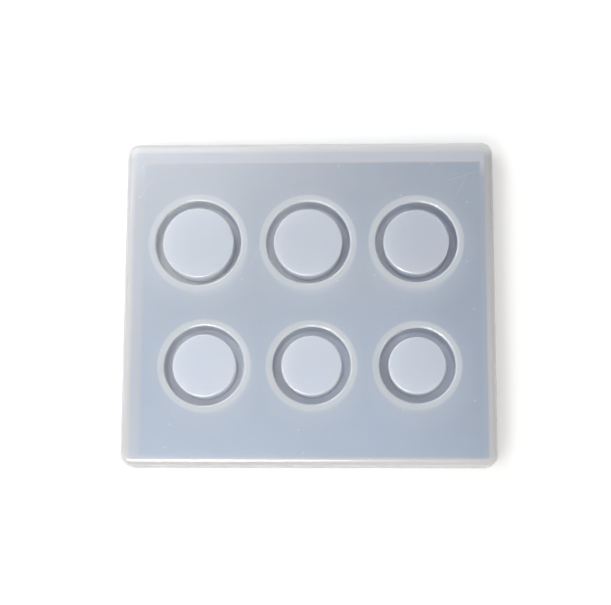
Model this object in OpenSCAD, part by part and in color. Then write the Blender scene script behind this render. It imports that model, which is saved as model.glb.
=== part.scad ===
// Silicone casting mould for finger rings, in six sizes.
//
// The mould is one soft moulding: a thin web with a skirt round it, and six round
// cups that hang from the web to the table. A core stands in the middle of each cup,
// and the channel left round the core is the cavity that a ring is cast in. Every
// region of the moulding is a solid of its own, and neighbours meet face to face.
//
// Millimetres. +Z is up, the cavities open upwards, +X runs to the right and +Y to
// the back. The origin is on the table, under the middle of the mould.

/* [Outline] */
// Overall width, from left to right
plate_w = 102; // [100:0.5:120]
// Overall depth, from front to back
plate_d = 90; // [84:0.5:110]
// Overall height, from the table to the top face
plate_h = 9; // [7:0.5:14]
// Corner radius of the outline, seen from above
corner_r = 3.2; // [2.8:0.1:6]
// Radius of the rounded top edge
edge_r = 1.7; // [0.5:0.1:2]
// Thickness of the skirt walls
skirt_t = 2.4; // [2.1:0.1:2.6]
// Thickness of the web between the cups
web_t = 1.8; // [1.2:0.1:2.4]

/* [Cups] */
// Smallest ring size, on the US scale; the other five follow it, one whole size apart
first_size = 5; // [3:1:5]
// Radial thickness of the smallest ring
thick_band = 2.45; // [2.2:0.05:2.6]
// Radial thickness of the largest ring
thin_band = 1.95; // [1.6:0.05:2.2]
// Outward bulge of the cavity's outer wall at half its depth, which gives a domed ring
bulge = 0.45; // [0.2:0.05:0.7]
// Thickness of a cup's wall at its mouth
cup_t = 1.8; // [1.4:0.1:2]
// Thickness of a cup's floor
floor_t = 2; // [1.2:0.1:2.5]

/* [Small radii] */
// Radius of the rounded edge of a cup's mouth
mouth_r = 0.5; // [0.2:0.1:0.7]
// Radius of the rounded top edge of a core
core_edge_r = 0.4; // [0.3:0.1:1.2]
// Radius of the rounded edge under a cup's floor
foot_r = 0.6; // [0.2:0.1:1]

/* [Layout] */
// Distance from the middle of the mould to the right-hand cups
right_x = 29.55; // [29:0.05:31]
// Distance from the middle of the mould to the back row
back_y = 16.5; // [16:0.1:20]
// Distance from the middle of the mould to the front row
front_y = 17.8; // [16:0.1:20]
// Gap between the cavities of the back row
back_gap = 7.05; // [6.5:0.05:7.5]
// Gap between the cavities of the front row
front_gap = 7.8; // [7:0.05:8.5]

/* [Hidden] */
cups = 6;
columns = 3;
// Inside diameter of a finger ring on the US scale: a start and a step for each size
us_start = 11.63;
us_step = 0.8128;
// Cutting tools reach this far past the face that they cut
past = 1;
silicone = [0.80, 0.84, 0.89];
lighter = [0.86, 0.89, 0.93];
deeper = [0.66, 0.70, 0.77];

// Cup 0 is the largest, at the back on the left. Cups count to the right, then forward.
function size_of(i) = first_size + cups - 1 - i;
function core_r(i) = (us_start + us_step * size_of(i)) / 2;
function band_t(i) = thin_band + (thick_band - thin_band) * i / (cups - 1);
function cavity_r(i) = core_r(i) + band_t(i);
function cup_r(i) = cavity_r(i) + cup_t;
function row_gap(i) = i < columns ? back_gap : front_gap;
// The right-hand cup of a row sets its place, and each cup to the left is a gap away
function cup_x(i) = i % columns == columns - 1
    ? right_x
    : cup_x(i + 1) - cavity_r(i + 1) - row_gap(i) - cavity_r(i);
function cup_y(i) = i < columns ? back_y : -front_y;

function name_of(kind, i) = str(kind, "_size_", size_of(i));
CUP_KINDS = ["cup_wall", "cup_floor", "core"];

$fn = 96;

// The part of a square corner that lies outside the circle rounding it. The corner
// points to the upper right, and the origin is at the circle's centre.
module corner_waste(r) {
    difference() {
        square(r + past);
        circle(r);
    }
}

// A rectangle whose upper right corner is rounded
module one_round_corner(w, h, r) {
    difference() {
        square([w, h]);
        translate([w - r, h - r]) corner_waste(r);
    }
}

module rounded_rectangle(w, d, r) {
    square([w - 2 * r, d], center = true);
    square([w, d - 2 * r], center = true);
    for (x = [-1, 1], y = [-1, 1]) translate([x * (w / 2 - r), y * (d / 2 - r)]) circle(r);
}

// A straight run of skirt along Y, with its outer face towards +X at the given distance
module skirt_run(distance, length) {
    translate([distance - skirt_t, 0, 0])
        rotate([90, 0, 0])
            linear_extrude(length, center = true)
                one_round_corner(skirt_t, plate_h, edge_r);
}

// A quarter turn of skirt round the Z axis, from +X to +Y
module skirt_turn() {
    rotate_extrude(angle = 90)
        translate([corner_r - skirt_t, 0])
            one_round_corner(skirt_t, plate_h, edge_r);
}

// The skirt along the front, with the two corners that it ends in
module skirt_with_corners() {
    rotate([0, 0, -90]) skirt_run(plate_d / 2, plate_w - 2 * corner_r);
    translate([plate_w / 2 - corner_r, corner_r - plate_d / 2, 0]) rotate([0, 0, -90]) skirt_turn();
    translate([corner_r - plate_w / 2, corner_r - plate_d / 2, 0]) rotate([0, 0, 180]) skirt_turn();
}

module front_skirt() {
    color(silicone) skirt_with_corners();
}

module back_skirt() {
    color(silicone) rotate([0, 0, 180]) skirt_with_corners();
}

module right_skirt() {
    color(silicone) skirt_run(plate_w / 2, plate_d - 2 * corner_r);
}

module left_skirt() {
    color(silicone) rotate([0, 0, 180]) skirt_run(plate_w / 2, plate_d - 2 * corner_r);
}

// The web fills the skirt at the top, and has a hole for each cup
module top_web() {
    color(silicone)
        difference() {
            translate([0, 0, plate_h - web_t])
                linear_extrude(web_t)
                    rounded_rectangle(plate_w - 2 * skirt_t, plate_d - 2 * skirt_t, corner_r - skirt_t);
            for (i = [0:cups - 1])
                translate([cup_x(i), cup_y(i), plate_h - web_t - past])
                    cylinder(r = cup_r(i), h = web_t + 2 * past);
        }
}

module at_cup(i) {
    translate([cup_x(i), cup_y(i), 0]) children();
}

// The outline of a cup's wall from its inner face outwards. The inner face bulges
// between the floor and the mouth, and is rounded at the mouth.
module cup_wall_outline() {
    depth = plate_h - mouth_r - floor_t;
    arc_r = (depth * depth / 4 + bulge * bulge) / (2 * bulge);
    difference() {
        translate([0, floor_t]) square([cup_t, plate_h - floor_t]);
        translate([bulge - arc_r, floor_t + depth / 2]) circle(arc_r, $fn = 360);
        translate([mouth_r, plate_h - mouth_r]) mirror([1, 0]) corner_waste(mouth_r);
    }
}

// The tube round a cavity
module cup_wall(i) {
    color(lighter)
        at_cup(i)
            rotate_extrude() translate([cavity_r(i), 0]) cup_wall_outline();
}

// The disc that closes a cup at the bottom and stands on the table
module cup_floor(i) {
    color(deeper)
        at_cup(i)
            translate([0, 0, floor_t])
                mirror([0, 0, 1])
                    rotate_extrude() one_round_corner(cup_r(i), floor_t, foot_r);
}

// The plug that forms the finger hole of a ring
module core(i) {
    color(lighter)
        at_cup(i)
            translate([0, 0, floor_t])
                rotate_extrude() one_round_corner(core_r(i), plate_h - floor_t, core_edge_r);
}

top_web();
front_skirt();
back_skirt();
left_skirt();
right_skirt();
for (i = [0:cups - 1]) {
    cup_wall(i);
    cup_floor(i);
    core(i);
}
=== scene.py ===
"""Silicone ring mould on a pale table, in metres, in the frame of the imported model."""
import math

import bmesh
import bpy
from mathutils import Matrix, Vector
from mathutils.geometry import delaunay_2d_cdt


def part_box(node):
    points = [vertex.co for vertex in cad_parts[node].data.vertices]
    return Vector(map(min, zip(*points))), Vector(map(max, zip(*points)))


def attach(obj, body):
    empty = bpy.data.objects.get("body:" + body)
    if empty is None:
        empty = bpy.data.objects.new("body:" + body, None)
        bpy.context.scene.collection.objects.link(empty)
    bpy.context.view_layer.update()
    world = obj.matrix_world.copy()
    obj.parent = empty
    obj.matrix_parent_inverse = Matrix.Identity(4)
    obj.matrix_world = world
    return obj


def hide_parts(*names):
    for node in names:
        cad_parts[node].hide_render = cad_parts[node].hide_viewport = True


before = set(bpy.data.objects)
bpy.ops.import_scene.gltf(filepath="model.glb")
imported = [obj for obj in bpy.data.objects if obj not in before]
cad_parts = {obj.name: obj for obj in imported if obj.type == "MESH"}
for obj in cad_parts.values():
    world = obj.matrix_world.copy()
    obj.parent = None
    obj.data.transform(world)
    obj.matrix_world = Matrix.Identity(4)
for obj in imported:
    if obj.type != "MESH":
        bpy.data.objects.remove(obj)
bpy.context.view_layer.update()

MM = 0.001

# ---------------------------------------------------------------------------
# The moulding's sizes, worked out from the frame
# ---------------------------------------------------------------------------

SIZES = (10, 9, 8, 7, 6, 5)
WEB_LOW, WEB_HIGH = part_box("top_web")
SKIRT_LOW, SKIRT_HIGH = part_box("front_skirt")
_, FLOOR_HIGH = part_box("cup_floor_size_10")

HALF_W = SKIRT_HIGH.x
HALF_D = -SKIRT_LOW.y
TOP = WEB_HIGH.z
UNDERSIDE = WEB_LOW.z
FLOOR = FLOOR_HIGH.z
SKIRT_T = HALF_W - WEB_HIGH.x
CORNER_R = SKIRT_HIGH.y - SKIRT_LOW.y

# Sizes that the boxes don't show, as the CAD part has them
EDGE_R = 1.7 * MM
CUP_T = 1.8 * MM
BULGE = 0.45 * MM
MOUTH_R = 0.5 * MM
CORE_EDGE_R = 0.4 * MM
FOOT_R = 0.6 * MM
# Small radii that only the visible surface has
LIP_R = 0.25 * MM
FLOOR_FILLET_R = 0.6 * MM
# How far the fillet round a cavity's floor reaches past the mouth's radius
FILLET_PAST = 0.1 * MM
CORE_FOOT_R = 0.25 * MM
ROOT_R = 0.6 * MM
# Air left between a core and the floor it stands on, so that their faces don't coincide
SEAM = 0.02 * MM

# How finely the skin is divided: round a cup, round a corner of the outline, along a side
# of it, round its edges from the largest to the smallest, across a face, and down a cavity
SEGMENTS = 96
CORNER_STEPS = 10
SIDE_STEPS = 28
EDGE_STEPS = 8
CORE_EDGE_STEPS = 7
FILLET_STEPS = 5
ROOT_STEPS = 4
LIP_STEPS = 3
FACE_PARTS = 4
WALL_PARTS = 9
# Rings of faces in the discs: a cavity's floor, a cup's base, a core's base and its top
FLOOR_RINGS = 4
BASE_RINGS = 4
CORE_BASE_RINGS = 3
CORE_TOP_RINGS = 5
# Distance between the points of the flat sheets, and the width of the flat ring round a cup
SHEET_SPACING = 3 * MM
APRON = 1 * MM
# Points closer than this are one point when the flat sheets are divided
MERGE_DISTANCE = 1e-9


class Cup:
    """Where one cup stands, and its radii."""

    def __init__(self, size):
        low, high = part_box(f"cup_wall_size_{size}")
        core_low, core_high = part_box(f"core_size_{size}")
        self.size = size
        self.x = (low.x + high.x) / 2
        self.y = (low.y + high.y) / 2
        self.outer_r = (high.x - low.x) / 2
        self.cavity_r = self.outer_r - CUP_T
        self.core_r = (core_high.x - core_low.x) / 2


CUPS = [Cup(size) for size in SIZES]


# ---------------------------------------------------------------------------
# Mesh helpers
# ---------------------------------------------------------------------------

def arc(centre, radius, start, end, steps):
    """Points on an arc, as (distance, height), from start to end degrees, both ends included."""
    angles = [math.radians(start + (end - start) * i / steps) for i in range(steps + 1)]
    return [(centre[0] + radius * math.cos(a), centre[1] + radius * math.sin(a)) for a in angles]


def between(start, end, parts):
    """The values that cut the stretch from start to end into equal parts, without its ends."""
    return [start + (end - start) * k / parts for k in range(1, parts)]


def add_circle(bm, cup, radius, z):
    """A closed loop of vertices round a cup."""
    turn = 2 * math.pi / SEGMENTS
    return [
        bm.verts.new((cup.x + radius * math.cos(i * turn), cup.y + radius * math.sin(i * turn), z))
        for i in range(SEGMENTS)
    ]


def outline_points(inset):
    """The outline, drawn in by inset, as (x, y) points counter-clockwise."""
    radius = CORNER_R - inset
    cx, cy = HALF_W - CORNER_R, HALF_D - CORNER_R
    corners = ((cx, cy, 0), (-cx, cy, 90), (-cx, -cy, 180), (cx, -cy, 270))
    points = []
    for i, (x, y, start) in enumerate(corners):
        turn = arc((x, y), radius, start, start + 90, CORNER_STEPS)
        points += turn
        nx, ny, next_start = corners[(i + 1) % len(corners)]
        goal = arc((nx, ny), radius, next_start, next_start + 90, CORNER_STEPS)[0]
        last = turn[-1]
        points += zip(between(last[0], goal[0], SIDE_STEPS), between(last[1], goal[1], SIDE_STEPS))
    return points


def add_outline(bm, inset, z):
    """A closed loop of vertices along the outline."""
    return [bm.verts.new((x, y, z)) for x, y in outline_points(inset)]


def bridge(bm, loops):
    """Quads between each loop and the next."""
    for low, high in zip(loops, loops[1:]):
        count = len(low)
        for i in range(count):
            j = (i + 1) % count
            bm.faces.new((low[i], low[j], high[j], high[i]))


def cap(bm, loop, cup, rings, z):
    """A disc inside a loop, in rings that end in a small polygon."""
    radius = math.hypot(loop[0].co.x - cup.x, loop[0].co.y - cup.y)
    loops = [loop] + [add_circle(bm, cup, radius * k / (rings + 1), z) for k in range(rings, 0, -1)]
    bridge(bm, loops)
    centre = bm.verts.new((cup.x, cup.y, z))
    last = loops[-1]
    for i in range(SEGMENTS):
        bm.faces.new((last[i], last[(i + 1) % SEGMENTS], centre))


def fill_sheet(bm, outline, holes, z, spacing):
    """Triangles between the outline loop and the hole loops, with points between them."""
    loops = [outline] + [loop for _, loop in holes]
    verts = [v for loop in loops for v in loop]
    points = [Vector((v.co.x, v.co.y)) for v in verts]
    edges = []
    start = 0
    for loop in loops:
        count = len(loop)
        edges += [(start + i, start + (i + 1) % count) for i in range(count)]
        start += count
    reach_x = max(v.co.x for v in outline) - spacing / 2
    reach_y = max(v.co.y for v in outline) - spacing / 2
    columns, rows = int(2 * reach_x / spacing), int(2 * reach_y / spacing)
    for row in range(rows + 1):
        for column in range(columns + 1):
            x = -reach_x + 2 * reach_x * column / columns
            y = -reach_y + 2 * reach_y * row / rows
            if all(math.hypot(x - c.x, y - c.y) > r + spacing / 2 for (c, r), _ in holes):
                points.append(Vector((x, y)))
    out_points, _, faces, origins, _, _ = delaunay_2d_cdt(points, edges, [], 0, MERGE_DISTANCE)
    made = []
    for point, origin in zip(out_points, origins):
        known = [i for i in origin if i < len(verts)]
        made.append(verts[known[0]] if known else bm.verts.new((point.x, point.y, z)))
    for face in faces:
        x = sum(out_points[i].x for i in face) / len(face)
        y = sum(out_points[i].y for i in face) / len(face)
        if all(math.hypot(x - c.x, y - c.y) > r for (c, r), _ in holes):
            bm.faces.new([made[i] for i in face])


def finish_mesh(bm, name):
    """The bmesh as an object, with outward normals and smooth shading."""
    bmesh.ops.recalc_face_normals(bm, faces=bm.faces)
    for face in bm.faces:
        face.smooth = True
    mesh = bpy.data.meshes.new(name)
    bm.to_mesh(mesh)
    bm.free()
    piece = bpy.data.objects.new(name, mesh)
    bpy.context.scene.collection.objects.link(piece)
    weighted = piece.modifiers.new("flat_faces_stay_flat", "WEIGHTED_NORMAL")
    weighted.weight = 100
    weighted.keep_sharp = True
    return piece


# ---------------------------------------------------------------------------
# The moulding
# ---------------------------------------------------------------------------

def skirt_profile():
    """(inset, z) from the top face over the outside and under the skirt to the web's underside."""
    top_edge = arc((EDGE_R, TOP - EDGE_R), EDGE_R, 90, 180, EDGE_STEPS)
    side = [(0, z) for z in between(TOP - EDGE_R, LIP_R, FACE_PARTS)]
    outer_lip = arc((LIP_R, LIP_R), LIP_R, 180, 270, LIP_STEPS)
    inner_lip = arc((SKIRT_T - LIP_R, LIP_R), LIP_R, 270, 360, LIP_STEPS)
    root = arc((SKIRT_T + ROOT_R, UNDERSIDE - ROOT_R), ROOT_R, 180, 90, ROOT_STEPS)
    return top_edge + side + outer_lip + inner_lip + root


def cavity_profile(cup):
    """(radius, z) from the top face down the cavity's outer wall and across its floor."""
    mouth = arc((cup.cavity_r + MOUTH_R, TOP - MOUTH_R), MOUTH_R, 90, 180, FILLET_STEPS)
    depth = TOP - MOUTH_R - FLOOR
    arc_r = (depth * depth / 4 + BULGE * BULGE) / (2 * BULGE)
    half_angle = math.asin(depth / 2 / arc_r)
    wall = []
    for angle in between(half_angle, -half_angle, WALL_PARTS):
        z = FLOOR + depth / 2 + arc_r * math.sin(angle)
        if z > FLOOR + FLOOR_FILLET_R:
            wall.append((cup.cavity_r + BULGE - arc_r * (1 - math.cos(angle)), z))
    fillet_centre = (cup.cavity_r - FLOOR_FILLET_R + FILLET_PAST, FLOOR + FLOOR_FILLET_R)
    return mouth + wall + arc(fillet_centre, FLOOR_FILLET_R, 0, -90, FILLET_STEPS)


def core_profile(cup):
    """(radius, z) from the cavity's floor up the core to its top face."""
    foot = arc((cup.core_r - CORE_FOOT_R, FLOOR + SEAM + CORE_FOOT_R), CORE_FOOT_R, -90, 0, LIP_STEPS)
    side = [(cup.core_r, z) for z in between(FLOOR + CORE_FOOT_R, TOP - CORE_EDGE_R, FACE_PARTS)]
    edge_centre = (cup.core_r - CORE_EDGE_R, TOP - CORE_EDGE_R)
    return foot + side + arc(edge_centre, CORE_EDGE_R, 0, 90, CORE_EDGE_STEPS)


def cup_outside_profile(cup):
    """(radius, z) from the web's underside down the outside of a cup to its flat base."""
    root = arc((cup.outer_r + ROOT_R, UNDERSIDE - ROOT_R), ROOT_R, 90, 180, ROOT_STEPS)
    side = [(cup.outer_r, z) for z in between(UNDERSIDE - ROOT_R, FOOT_R, FACE_PARTS)]
    foot = arc((cup.outer_r - FOOT_R, FOOT_R), FOOT_R, 0, -90, FILLET_STEPS)
    return root + side + foot


def make_tray():
    """The web, the skirt and the six cups, as the one closed skin that they share."""
    bm = bmesh.new()
    outline_loops = [add_outline(bm, inset, z) for inset, z in skirt_profile()]
    bridge(bm, outline_loops)
    top_holes, under_holes = [], []
    for cup in CUPS:
        ring_r = cup.outer_r + APRON
        mouth_r = cup.cavity_r + MOUTH_R
        flat = [(r, TOP) for r in [ring_r] + between(ring_r, mouth_r, FACE_PARTS)]
        loops = [add_circle(bm, cup, r, z) for r, z in flat + cavity_profile(cup)]
        bridge(bm, loops)
        cap(bm, loops[-1], cup, FLOOR_RINGS, FLOOR)
        top_holes.append(((cup, ring_r), loops[0]))
        loops = [add_circle(bm, cup, r, z) for r, z in cup_outside_profile(cup)]
        bridge(bm, loops)
        cap(bm, loops[-1], cup, BASE_RINGS, 0)
        under_holes.append(((cup, cup.outer_r + ROOT_R), loops[0]))
    fill_sheet(bm, outline_loops[0], top_holes, TOP, SHEET_SPACING)
    fill_sheet(bm, outline_loops[-1], under_holes, UNDERSIDE, SHEET_SPACING)
    return finish_mesh(bm, "tray")


def make_core(cup):
    """The plug in the middle of a cup."""
    bm = bmesh.new()
    loops = [add_circle(bm, cup, r, z) for r, z in core_profile(cup)]
    bridge(bm, loops)
    cap(bm, loops[0], cup, CORE_BASE_RINGS, FLOOR + SEAM)
    cap(bm, loops[-1], cup, CORE_TOP_RINGS, TOP)
    return finish_mesh(bm, f"core_size_{cup.size}_visible")


# ---------------------------------------------------------------------------
# Material
# ---------------------------------------------------------------------------

class Nodes:
    """Short names for the shader nodes of a material or a world."""

    def __init__(self, owner):
        self.tree = owner.node_tree

    def put(self, kind, inputs=(), out=0, **settings):
        node = self.tree.nodes.new(kind)
        for name, value in settings.items():
            setattr(node, name, value)
        for key, value in dict(inputs).items():
            if isinstance(value, bpy.types.NodeSocket):
                self.tree.links.new(value, node.inputs[key])
            else:
                node.inputs[key].default_value = value
        return node.outputs[out]

    def split(self, vector):
        parts = self.tree.nodes.new("ShaderNodeSeparateXYZ")
        self.tree.links.new(vector, parts.inputs[0])
        return parts.outputs

    def maths(self, operation, a, b=0.0, c=0.0):
        return self.put("ShaderNodeMath", {0: a, 1: b, 2: c}, operation=operation)

    def vector(self, operation, a, b=(0, 0, 0)):
        out = "Value" if operation in ("LENGTH", "DISTANCE", "DOT_PRODUCT") else "Vector"
        return self.put("ShaderNodeVectorMath", {0: a, 1: b}, out=out, operation=operation)

    def ramp(self, value, low, high):
        """0 below low and 1 above high, with a soft step between."""
        return self.put(
            "ShaderNodeMapRange",
            {"Value": value, "From Min": low, "From Max": high, "To Min": 0.0, "To Max": 1.0},
            interpolation_type="SMOOTHSTEP",
        )

    def mix(self, share, a, b):
        return self.put("ShaderNodeMix", {0: share, 6: a, 7: b}, out=2, data_type="RGBA")

    def noise(self, place, scale, detail=2.0):
        return self.put("ShaderNodeTexNoise", {"Vector": place, "Scale": scale, "Detail": detail})


def rim_depth(nodes, place):
    """How far inside the outline a point lies, in millimetres."""
    half = ((HALF_W - CORNER_R) / MM, (HALF_D - CORNER_R) / MM, 0)
    over = nodes.vector("SUBTRACT", nodes.vector("ABSOLUTE", place), half)
    outside = nodes.vector("LENGTH", nodes.vector("MAXIMUM", over, (0, 0, 0)))
    over_x, over_y, _ = nodes.split(over)
    inside = nodes.maths("MINIMUM", nodes.maths("MAXIMUM", over_x, over_y), 0.0)
    return nodes.maths("SUBTRACT", CORNER_R / MM, nodes.maths("ADD", outside, inside))


def cup_mask(nodes, place, grow, blur):
    """1 over the cups and 0 elsewhere. The step lies grow outside a cup's wall and is blur wide."""
    mask = None
    for cup in CUPS:
        distance = nodes.vector("DISTANCE", place, (cup.x / MM, cup.y / MM, 0))
        edge = cup.outer_r / MM + grow
        one = nodes.ramp(distance, edge + blur / 2, edge - blur / 2)
        mask = one if mask is None else nodes.maths("MAXIMUM", mask, one)
    return mask


# Linear colours. Silicone is bluer and darker where it is thin, and whiter where it is thick.
WEB_BACK = (0.417, 0.463, 0.54, 1)
WEB_FRONT = (0.405, 0.475, 0.585, 1)
# Painted light: the web's paler tone towards the back left
WEB_LIT = (0.467, 0.51, 0.58, 1)
# Painted shade: the web's deeper tone towards the right edge
WEB_PAINTED_SHADE = (0.34, 0.395, 0.49, 1)
SKIRT = (0.525, 0.535, 0.565, 1)
# Painted light: the skirt's top paler along the back
SKIRT_LIT_AT_BACK = (0.60, 0.61, 0.64, 1)
# Painted shade on the skirt's outer sides
SKIRT_OUTSIDE_SHADE = (0.38, 0.40, 0.44, 1)
# Painted shade on the skirt's top towards the right
SKIRT_RIGHT_SHADE = (0.44, 0.45, 0.48, 1)
SKIRT_FOOT = (0.49, 0.525, 0.59, 1)
FOOT_LINE = (0.505, 0.52, 0.57, 1)
FOOT_BACK = (0.53, 0.562, 0.635, 1)
LINE_BACK = (0.555, 0.567, 0.62, 1)
CUP_RIM = (0.552, 0.587, 0.636, 1)
CUP_FOOT = (0.49, 0.54, 0.62, 1)
CORE_BACK = (0.56, 0.605, 0.68, 1)
CORE_FRONT = (0.595, 0.645, 0.735, 1)
# Painted shade on the cores' tops towards the right
CORE_SHADED = (0.52, 0.56, 0.64, 1)
# The cavities' walls are painted with light and shade: paler at the mouth and on the left, with painted
# shade lower down, on the right, in the front row and on the right of the back row's cups
WALL_LIT_LEFT = (0.94, 0.955, 0.98, 1)
WALL_SHADED_RIGHT = (0.78, 0.82, 0.88, 1)
LOW_SHADE_LEFT = (0.85, 0.885, 0.95, 1)
LOW_SHADE_RIGHT = (0.62, 0.67, 0.77, 1)
LOW_SHADE_FRONT = (0.55, 0.605, 0.70, 1)
LOW_SHADE_SIDE = (0.38, 0.43, 0.52, 1)
DUST = (0.72, 0.74, 0.78, 1)

# Where the colours go. These are in millimetres, and the shares are from 0 to 1.
# Painted shade grows to the right and a little to the back, and painted light is strongest at the back
# left
SHADED_WAY = (1.0, 0.35, 0)
LIT_WAY = (-0.7, 0.7, 0)
# What stands under the web is lower, so from above it shows a little smaller and further
# forward. A point of the web therefore takes the colour of a place further out and back.
SHOWN_OUTWARD = 1.022
SHOWN_SHIFT = (-0.4, 1.9, 0)
# How far the web's clouds push its shades about
CLOUD_REACH = 60.0
# How much of the web's painted shade reaches the right edge
WEB_PAINTED_SHADE_SHARE = 0.65
# The skirt's foot has a softer and weaker edge along the left
LEFT_SHARPNESS = 0.45
FOOT_HIDDEN_SHARE = 0.8
# Steps round the cups, each as how far outside a cup's wall it lies and how wide it is
GLOW_STEP = (3.0, 7.0)
CUP_FOOT_STEP = (-0.7, 1.8)
CUP_RIM_STEP = (0.1, 0.6)
CAVITY_STEP = (-1.2, 0.4)
GLOW_SHARE = 0.35
# How much painted shade the front row's cavities and the right of the back row's cavities take
WALL_FRONT_SHARE = 0.55
WALL_SIDE_SHARE = 0.5
# Dust: how many cells there are to a millimetre, how large a grain is as a share of its
# cell, from its rim to its middle, and which cells hold one
SPECK_CELLS = 0.11
SPECK_SIZE = (0.032, 0.012)
SPECK_PICK = (0.55, 0.75)
# Scratches: how fine their pattern is along them and across
SCRATCH_ALONG = 0.07
SCRATCH_ACROSS = 1.6
SCRATCH_SHARE = 0.22
MARKS_SHARE = 0.6
# The surface: how rough it is at its smoothest, how much more in places, and its relief
SMOOTHEST = 0.265
UNEVENNESS = 0.12
ROUGHER_BELOW = 0.18
ROUGHER_OUTSIDE = 0.27
GRAIN_SHARE = 0.04
RELIEF_DEPTH = 0.03 * MM
SILICONE_IOR = 1.41
SKIN_WEIGHT = 0.5
SKIN_ROUGHNESS = 0.10
SCATTER_DEPTH = 7 * MM
SCATTER_BY_COLOUR = (1.0, 0.85, 0.7)


class Place:
    """Where a point of the moulding is, in millimetres, as shader sockets."""

    def __init__(self, nodes):
        point = nodes.put("ShaderNodeTexCoord", out=3)
        self.whole = nodes.vector("MULTIPLY", point, (1 / MM, 1 / MM, 1 / MM))
        self.flat = nodes.vector("MULTIPLY", self.whole, (1, 1, 0))
        self.x, self.y, self.height = nodes.split(self.whole)
        self.shaded = nodes.vector("DOT_PRODUCT", self.whole, SHADED_WAY)
        outward = nodes.vector("MULTIPLY", self.flat, (SHOWN_OUTWARD, SHOWN_OUTWARD, 0))
        self.shown = nodes.vector("ADD", outward, SHOWN_SHIFT)


def web_colour(nodes, place):
    """The thin sheet: cloudy, with painted light at the back left, bluer in front, and painted shade on
    the right.
    """
    wander = nodes.maths("MULTIPLY", nodes.noise(place.whole, 0.04, 3.0), CLOUD_REACH)
    forward = nodes.ramp(nodes.maths("SUBTRACT", wander, place.y), 0.0, CLOUD_REACH)
    # Painted shade towards the right edge, and painted light towards the back left
    edgeward = nodes.ramp(nodes.maths("ADD", wander, place.shaded), 44.0, 84.0)
    lit = nodes.ramp(nodes.vector("DOT_PRODUCT", place.whole, LIT_WAY), 10.0, 60.0)
    colour = nodes.mix(forward, nodes.mix(lit, WEB_BACK, WEB_LIT), WEB_FRONT)
    return nodes.mix(nodes.maths("MULTIPLY", edgeward, WEB_PAINTED_SHADE_SHARE), colour, WEB_PAINTED_SHADE)


def skirt_over(nodes, place, colour):
    """The skirt's top, and past it the skirt's inner face and foot, which show through the web."""
    depth = nodes.maths("SUBTRACT", rim_depth(nodes, place.shown), SKIRT_T / MM)
    sharp = nodes.put("ShaderNodeMapRange", {
        "Value": place.x, "From Min": -46.0, "From Max": -42.0, "To Min": LEFT_SHARPNESS, "To Max": 1.0})
    foot_depth = nodes.maths("MULTIPLY", depth, sharp)
    foot = nodes.ramp(foot_depth, 1.1, 0.3)
    line = nodes.ramp(foot_depth, -0.3, 0.1)
    # Along the right, the skirt's foot is hidden under its top
    hidden = nodes.maths("MULTIPLY", nodes.ramp(place.x, 42.0, 45.0), nodes.ramp(place.y, 39.3, 34.0))
    lost = nodes.maths("MULTIPLY", hidden, FOOT_HIDDEN_SHARE)
    strength = nodes.maths("SUBTRACT", nodes.maths("MULTIPLY_ADD", sharp, 0.5, 0.5), lost)
    seen = nodes.maths("MULTIPLY", foot, strength)
    side_foot = nodes.mix(line, SKIRT_FOOT, FOOT_LINE)
    back_foot = nodes.mix(line, FOOT_BACK, LINE_BACK)
    colour = nodes.mix(seen, colour, nodes.mix(nodes.ramp(place.y, 30.0, 39.0), side_foot, back_foot))
    top_depth = rim_depth(nodes, nodes.vector("ADD", place.flat, (0, 0.4, 0)))
    top = nodes.ramp(top_depth, SKIRT_T / MM + 0.35, SKIRT_T / MM - 0.25)
    # Painted shade on the skirt's top towards the right, painted light along its back, and painted shade
    # on its outer sides
    skirt = nodes.mix(nodes.ramp(place.shaded, 42.0, 66.0), SKIRT, SKIRT_RIGHT_SHADE)
    skirt = nodes.mix(nodes.ramp(place.y, 40.0, 43.0), skirt, SKIRT_LIT_AT_BACK)
    side = nodes.ramp(place.height, TOP / MM - 0.8, TOP / MM - 1.8)
    return nodes.mix(top, colour, nodes.mix(side, skirt, SKIRT_OUTSIDE_SHADE))


def cups_over(nodes, place, colour):
    """The cups' wall tops, with the glow of the walls below them round each."""
    glow = nodes.maths("MULTIPLY", cup_mask(nodes, place.shown, *GLOW_STEP), GLOW_SHARE)
    colour = nodes.mix(glow, colour, CUP_FOOT)
    colour = nodes.mix(cup_mask(nodes, place.shown, *CUP_FOOT_STEP), colour, CUP_FOOT)
    return nodes.mix(cup_mask(nodes, place.flat, *CUP_RIM_STEP), colour, CUP_RIM)


def right_side(nodes, place):
    """0 in the middle and on the left of each cup of the back row, and 1 on its right, where the wall
    takes painted shade.
    """
    total = 0.0
    for cup in CUPS:
        if cup.y > 0:
            away = nodes.vector("SUBTRACT", place.flat, (cup.x / MM, cup.y / MM, 0))
            share = nodes.vector("DOT_PRODUCT", away, (MM / cup.cavity_r, 0, 0))
            near = nodes.maths("LESS_THAN", nodes.vector("LENGTH", away), cup.outer_r / MM)
            one = nodes.maths("MULTIPLY", near, nodes.ramp(share, 0.2, 1.0))
            total = nodes.maths("ADD", total, one)
    return total


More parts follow.
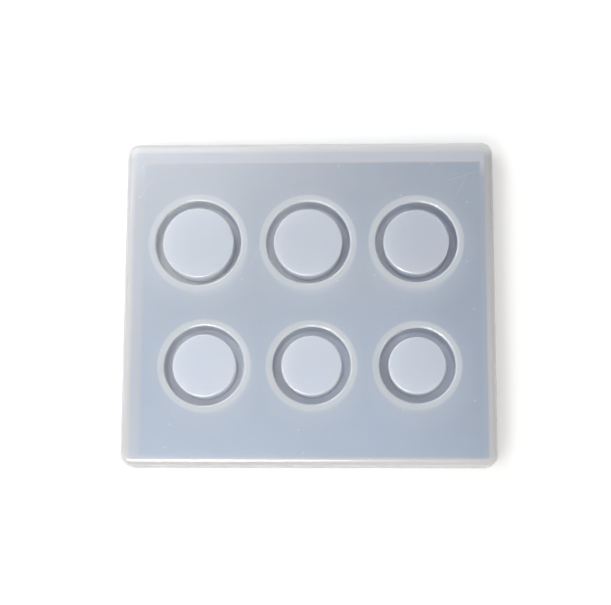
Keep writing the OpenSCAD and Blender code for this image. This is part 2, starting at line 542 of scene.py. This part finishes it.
def wall_colour(nodes, place):
    """The wall of a cavity, with painted light and shade: pale at the mouth, and painted shade below, on
    the right and in the front row.
    """
    down = nodes.ramp(place.height, TOP / MM - 1.0, FLOOR / MM + 1.0)
    right = nodes.ramp(place.x, -45.0, 45.0)
    wall = nodes.mix(right, WALL_LIT_LEFT, WALL_SHADED_RIGHT)
    deep = nodes.mix(right, LOW_SHADE_LEFT, LOW_SHADE_RIGHT)
    front = nodes.maths("MULTIPLY", nodes.ramp(place.y, 5.0, -5.0), WALL_FRONT_SHARE)
    colour = nodes.mix(down, wall, nodes.mix(front, deep, LOW_SHADE_FRONT))
    side = nodes.maths("MULTIPLY", right_side(nodes, place), WALL_SIDE_SHARE)
    return nodes.mix(side, colour, LOW_SHADE_SIDE)


def specks(nodes, place):
    """1 on sparse grains of dust, and 0 elsewhere."""
    cells = nodes.tree.nodes.new("ShaderNodeTexVoronoi")
    cells.voronoi_dimensions = "2D"
    cells.inputs["Scale"].default_value = SPECK_CELLS
    nodes.tree.links.new(place.flat, cells.inputs["Vector"])
    grain = nodes.ramp(cells.outputs["Distance"], *SPECK_SIZE)
    pick, _, _ = nodes.split(cells.outputs["Color"])
    return nodes.maths("MULTIPLY", grain, nodes.ramp(pick, *SPECK_PICK))


def scratches(nodes, place, degrees):
    """1 on faint straight scratches that run at an angle to X, in a few patches."""
    turn = math.radians(degrees)
    across = nodes.vector("DOT_PRODUCT", place.flat, (-math.sin(turn), math.cos(turn), 0))
    along = nodes.vector("DOT_PRODUCT", place.flat, (math.cos(turn), math.sin(turn), 0))
    stretched = nodes.put("ShaderNodeCombineXYZ", {
        0: nodes.maths("MULTIPLY", along, SCRATCH_ALONG),
        1: nodes.maths("MULTIPLY", across, SCRATCH_ACROSS),
        2: degrees,
    })
    line = nodes.ramp(nodes.noise(stretched, 1.0, 0.0), 0.72, 0.80)
    patch = nodes.ramp(nodes.noise(place.flat, 0.05, 0.0), 0.56, 0.66)
    return nodes.maths("MULTIPLY", line, patch)


def core_colour(nodes, place, below_top):
    """A core: its pale top, with painted shade towards the right, and its side, which takes the cavity
    wall's painted light and shade.
    """
    top = nodes.mix(nodes.ramp(place.y, 20.0, -20.0), CORE_BACK, CORE_FRONT)
    top = nodes.mix(nodes.ramp(place.shaded, 15.0, 45.0), top, CORE_SHADED)
    return nodes.mix(below_top, top, wall_colour(nodes, place))


def tray_colour(nodes, place, below_top):
    """Everything but the cores: the web, then the skirt, the cups and the cavities over it."""
    colour = cups_over(nodes, place, skirt_over(nodes, place, web_colour(nodes, place)))
    cavity = nodes.maths("MULTIPLY", cup_mask(nodes, place.flat, *CAVITY_STEP), below_top)
    return nodes.mix(cavity, colour, wall_colour(nodes, place))


def marks_over(nodes, place, colour):
    """Dust and faint scratches, on the top only."""
    worn = nodes.maths("ADD", scratches(nodes, place, 62.0), scratches(nodes, place, 18.0))
    marks = nodes.maths("ADD", specks(nodes, place), nodes.maths("MULTIPLY", worn, SCRATCH_SHARE))
    on_top = nodes.ramp(place.height, TOP / MM - 0.5, TOP / MM - 0.2)
    share = nodes.maths("MULTIPLY", nodes.maths("MULTIPLY", marks, MARKS_SHARE), on_top)
    return nodes.mix(share, colour, DUST)


def surface_roughness(nodes, place):
    """Glossy and a little uneven on the top, and more matt below it, most of all outside."""
    uneven = nodes.maths("MULTIPLY", nodes.noise(place.whole, 0.35, 3.0), UNEVENNESS)
    outside = nodes.ramp(rim_depth(nodes, place.flat), SKIRT_T / MM, SKIRT_T / MM - 1.0)
    more = nodes.maths("ADD", nodes.maths("MULTIPLY", outside, ROUGHER_OUTSIDE), ROUGHER_BELOW)
    matt = nodes.maths("MULTIPLY", nodes.ramp(place.height, TOP / MM - 1.2, TOP / MM - 2.5), more)
    return nodes.maths("ADD", nodes.maths("ADD", uneven, matt), SMOOTHEST)


def surface_relief(nodes, place):
    """A gentle ripple with a fine grain on it."""
    grain = nodes.maths("MULTIPLY", nodes.noise(place.whole, 2.5, 2.0), GRAIN_SHARE)
    relief = nodes.maths("ADD", nodes.noise(place.whole, 0.22, 2.0), grain)
    return nodes.put("ShaderNodeBump", {"Height": relief, "Strength": 1.0, "Distance": RELIEF_DEPTH})


def silicone(name, body_colour):
    """Milky silicone with a glossy skin, painted light and shade in its colour, a little dust and a few
    scratches.
    """
    material = bpy.data.materials.new(name)
    material.use_nodes = True
    nodes = Nodes(material)
    place = Place(nodes)
    below_top = nodes.ramp(place.height, TOP / MM - 0.15, TOP / MM - 0.8)
    colour = marks_over(nodes, place, body_colour(nodes, place, below_top))
    links = material.node_tree.links
    shader = material.node_tree.nodes["Principled BSDF"]
    links.new(colour, shader.inputs["Base Color"])
    links.new(surface_roughness(nodes, place), shader.inputs["Roughness"])
    links.new(surface_relief(nodes, place), shader.inputs["Normal"])
    shader.inputs["IOR"].default_value = SILICONE_IOR
    shader.inputs["Coat Weight"].default_value = SKIN_WEIGHT
    shader.inputs["Coat Roughness"].default_value = SKIN_ROUGHNESS
    shader.inputs["Coat IOR"].default_value = SILICONE_IOR
    shader.inputs["Subsurface Weight"].default_value = 1.0
    shader.inputs["Subsurface Radius"].default_value = SCATTER_BY_COLOUR
    shader.inputs["Subsurface Scale"].default_value = SCATTER_DEPTH
    return material


def dress(piece, material, *nodes):
    """Gives a piece its material, hides the CAD nodes that it stands for, and hangs it on the root body.
    """
    piece.data.materials.append(material)
    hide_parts(*nodes)
    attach(piece, "root")


TRAY_NODES = [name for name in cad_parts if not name.startswith("core_")]
dress(make_tray(), silicone("tray_silicone", tray_colour), *TRAY_NODES)
core_silicone = silicone("core_silicone", core_colour)
for cup in CUPS:
    dress(make_core(cup), core_silicone, f"core_size_{cup.size}")


# ---------------------------------------------------------------------------
# Floor, lights and camera
# ---------------------------------------------------------------------------

FLOOR_REACH = 2.0
FLOOR_COLOUR = (0.95, 0.95, 0.95, 1)
FLOOR_ROUGHNESS = 0.9
FLOOR_LIGHT = 0.2


def make_floor():
    """The pale table, lit a little from within so that it comes out white as in the photo."""
    bm = bmesh.new()
    bmesh.ops.create_grid(bm, x_segments=1, y_segments=1, size=FLOOR_REACH)
    mesh = bpy.data.meshes.new("floor")
    bm.to_mesh(mesh)
    bm.free()
    floor = bpy.data.objects.new("floor", mesh)
    bpy.context.scene.collection.objects.link(floor)
    material = bpy.data.materials.new("pale_floor")
    material.use_nodes = True
    shader = material.node_tree.nodes["Principled BSDF"]
    shader.inputs["Base Color"].default_value = FLOOR_COLOUR
    shader.inputs["Roughness"].default_value = FLOOR_ROUGHNESS
    shader.inputs["Emission Color"].default_value = (1, 1, 1, 1)
    shader.inputs["Emission Strength"].default_value = FLOOR_LIGHT
    mesh.materials.append(material)


def area_light(name, place, target, size, watts, colour=(1, 1, 1), diffuse=True, gloss=True):
    """A rectangular light. Without diffuse it only makes reflections, and without gloss none."""
    data = bpy.data.lights.new(name, "AREA")
    data.shape = "RECTANGLE"
    data.size, data.size_y = size
    data.energy = watts
    data.color = colour
    light = bpy.data.objects.new(name, data)
    light.location = place
    light.visible_diffuse = diffuse
    light.visible_glossy = gloss
    light.rotation_mode = "QUATERNION"
    light.rotation_quaternion = (Vector(target) - Vector(place)).to_track_quat("-Z", "Y")
    bpy.context.scene.collection.objects.link(light)


COOL = (0.95, 0.98, 1.0)
WARM = (1.0, 0.95, 0.88)
WORLD_STRENGTH = 0.48


def make_world():
    """Soft light from all round, cool from the back left and warm from the front right."""
    world = bpy.data.worlds.new("studio")
    world.use_nodes = True
    nodes = Nodes(world)
    towards = nodes.put("ShaderNodeTexCoord", out=0)
    side = nodes.vector("DOT_PRODUCT", towards, (0.6, -0.6, 0))
    colour = nodes.mix(nodes.ramp(side, -0.8, 0.8), (*COOL, 1), (*WARM, 1))
    background = world.node_tree.nodes["Background"]
    world.node_tree.links.new(colour, background.inputs["Color"])
    background.inputs["Strength"].default_value = WORLD_STRENGTH
    bpy.context.scene.world = world


def make_lights():
    """Soft light from the left, the front and above, and panes that only show as reflections."""
    middle = (0, 0, 0)
    area_light("left", (-0.40, 0.0, 0.22), middle, (0.30, 0.30), 0.36, COOL, gloss=False)
    area_light("front", (-0.05, -0.40, 0.25), middle, (0.40, 0.25), 0.56, WARM, gloss=False)
    area_light("high", (-0.20, -0.22, 0.45), middle, (0.20, 0.20), 0.55)
    area_light("sky", (-0.17, 0.13, 0.28), (-0.03, 0.02, 0), (0.24, 0.24), 0.35, COOL)
    area_light("key", (-0.076, -0.152, 0.37), middle, (0.12, 0.12), 2.6, diffuse=False)
    area_light("back", (0.05, 0.42, 0.22), middle, (0.60, 0.24), 0.55, diffuse=False)
    area_light("window", (-0.16, 0.30, 0.42), (-0.03, 0.04, 0), (0.30, 0.30), 1.15, diffuse=False)
    area_light("warm", (0.34, -0.30, 0.25), middle, (0.50, 0.40), 0.6, WARM, diffuse=False)
    area_light("fill", (0.36, 0.10, 0.26), middle, (0.30, 0.30), 0.15, gloss=False)


CAMERA_TILT = math.radians(10.7)
CAMERA_AZIMUTH = math.radians(12.8)
CAMERA_ROLL = math.radians(-12.75)
CAMERA_DISTANCE = 0.4106
CAMERA_TARGET = Vector((-0.84 * MM, -0.43 * MM, TOP))
# The lens's focal length, as a multiple of the sensor's width
LENS_RATIO = 2.455
SENSOR_WIDTH = 36
CLIP_START = 0.01


def make_camera():
    """The photo's view: from almost straight above, and turned a little."""
    data = bpy.data.cameras.new("camera")
    data.sensor_width = SENSOR_WIDTH
    data.lens = SENSOR_WIDTH * LENS_RATIO
    data.clip_start = CLIP_START
    camera = bpy.data.objects.new("camera", data)
    back = Vector((
        math.sin(CAMERA_AZIMUTH) * math.sin(CAMERA_TILT),
        -math.cos(CAMERA_AZIMUTH) * math.sin(CAMERA_TILT),
        math.cos(CAMERA_TILT),
    ))
    right = Vector((0, 0, 1)).cross(back).normalized()
    up = back.cross(right)
    turned_right = math.cos(CAMERA_ROLL) * right + math.sin(CAMERA_ROLL) * up
    turned_up = back.cross(turned_right)
    facing = Matrix((turned_right, turned_up, back)).transposed().to_4x4()
    camera.matrix_world = Matrix.Translation(CAMERA_TARGET + back * CAMERA_DISTANCE) @ facing
    bpy.context.scene.collection.objects.link(camera)
    bpy.context.scene.camera = camera


make_floor()
make_world()
make_lights()
make_camera()
bpy.context.scene.view_settings.view_transform = "Standard"
